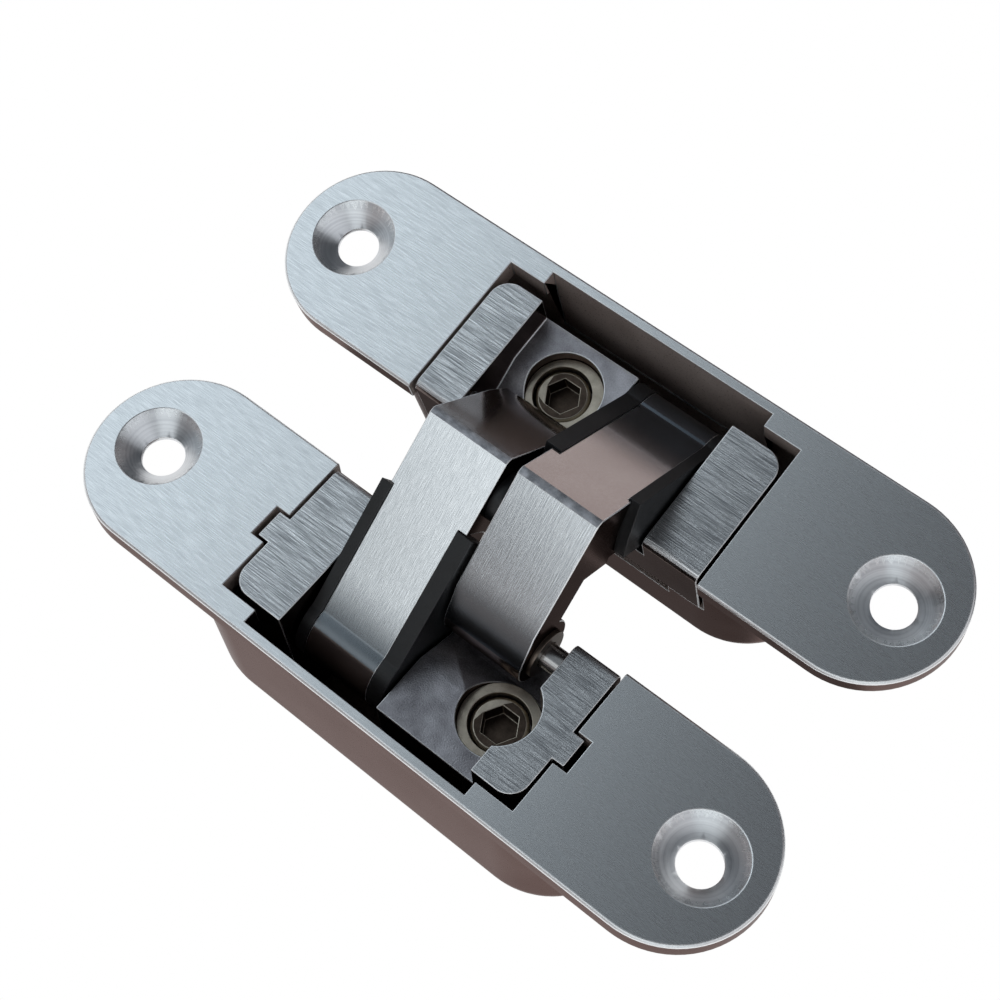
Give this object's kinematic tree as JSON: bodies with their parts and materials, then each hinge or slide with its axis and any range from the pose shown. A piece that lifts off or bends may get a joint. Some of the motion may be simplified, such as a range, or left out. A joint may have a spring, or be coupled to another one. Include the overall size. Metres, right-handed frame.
{
  "type": "concealed door hinge",
  "caption": "Concealed door hinge: two mortised halves with round-ended faceplates, joined by crossed bent arms, adjustable by socket screws.",
  "frame": {"origin": "middle of the front faceplate's seat, the underside that lies in the mortise, midway between its two screw holes", "axes": "+X along the faceplate's length, +Y from the front half towards the rear half, +Z out of the front faceplate"},
  "size_m": [0.095, 0.0614, 0.042],
  "materials": {
    "housing": "satin plated zinc casting, faceplate brushed along its length",
    "cradle": "plated zinc casting with coarse brushed faces",
    "arm": "plated zinc casting, brushed top faces, satin sides",
    "side_pad": "moulded black nylon",
    "adjuster": "yellow zinc-plated steel, dulled",
    "pin": "ground steel",
    "bush": "dull bronze-coloured bearing bush"
  },
  "bodies": {
    "front_housing": {"front_housing": "housing", "front_nut": "adjuster"},
    "front_cradle": {"front_cradle": "cradle", "front_eccentric_bush": "adjuster", "front_spring_washer": "adjuster", "front_pivot_pin": "pin"},
    "front_screw": {"front_screw": "adjuster"},
    "right_arm": {"right_arm": "arm", "right_arm_outer_pad": "side_pad", "right_arm_inner_pad": "side_pad", "right_arm_slide_pin": "pin", "right_arm_slide_bush": "bush", "right_arm_pivot_bush": "bush", "centre_pin": "pin", "centre_washer": "side_pad"},
    "left_arm": {"left_arm": "arm", "left_arm_outer_pad": "side_pad", "left_arm_inner_pad": "side_pad", "left_arm_slide_pin": "pin", "left_arm_slide_bush": "bush", "left_arm_pivot_bush": "bush"},
    "rear_cradle": {"rear_cradle": "cradle", "rear_pivot_pin": "pin"},
    "rear_eccentric_bush": {"rear_eccentric_bush": "adjuster"},
    "rear_housing": {"rear_housing": "housing", "rear_screw": "adjuster", "rear_nut": "adjuster", "rear_spring_washer": "adjuster"}
  },
  "joints": [
    {"name": "front_depth", "type": "slide", "parent": "front_housing", "child": "front_cradle", "axis": [0, 0, 1], "range_m": [-0.0004, 0.0004]},
    {"name": "front_screw_turn", "type": "hinge", "parent": "front_cradle", "child": "front_screw", "pos_m": [0.0122, 0, 0], "axis": [0, 0, 1], "range_deg": [-180, 180]},
    {"name": "fold", "type": "hinge", "parent": "front_cradle", "child": "right_arm", "pos_m": [0, 0.0085, 0.0006], "axis": [1, 0, 0], "range_deg": [-6.36, 108.05]},
    {"name": "arm_cross", "type": "hinge", "parent": "right_arm", "child": "left_arm", "pos_m": [0, 0.01715, 0.01067], "axis": [1, 0, 0], "range_deg": [-46.11, 2.72]},
    {"name": "rear_fold", "type": "hinge", "parent": "left_arm", "child": "rear_cradle", "pos_m": [0, 0.02741, 0.00225], "axis": [1, 0, 0], "range_deg": [-6.36, 108.05]},
    {"name": "rear_bush_turn", "type": "hinge", "parent": "rear_cradle", "child": "rear_eccentric_bush", "pos_m": [-0.00725, 0.03533, 0.00629], "axis": [0, -0.1736, 0.9848], "range_deg": [-60, 60]},
    {"name": "rear_shift", "type": "slide", "parent": "rear_cradle", "child": "rear_housing", "axis": [0, -0.9848, -0.1736], "range_m": [-0.0003, 0.0003]}
  ],
  "couplings": [
    {"joint": "front_screw_turn", "follows": "front_depth", "rad_per_m": 7853.9},
    {"joint": "arm_cross", "follows": "fold", "ratio": -0.42667},
    {"joint": "rear_fold", "follows": "fold", "ratio": 1},
    {"joint": "rear_bush_turn", "follows": "rear_shift", "rad_per_m": 3490.6}
  ]
}
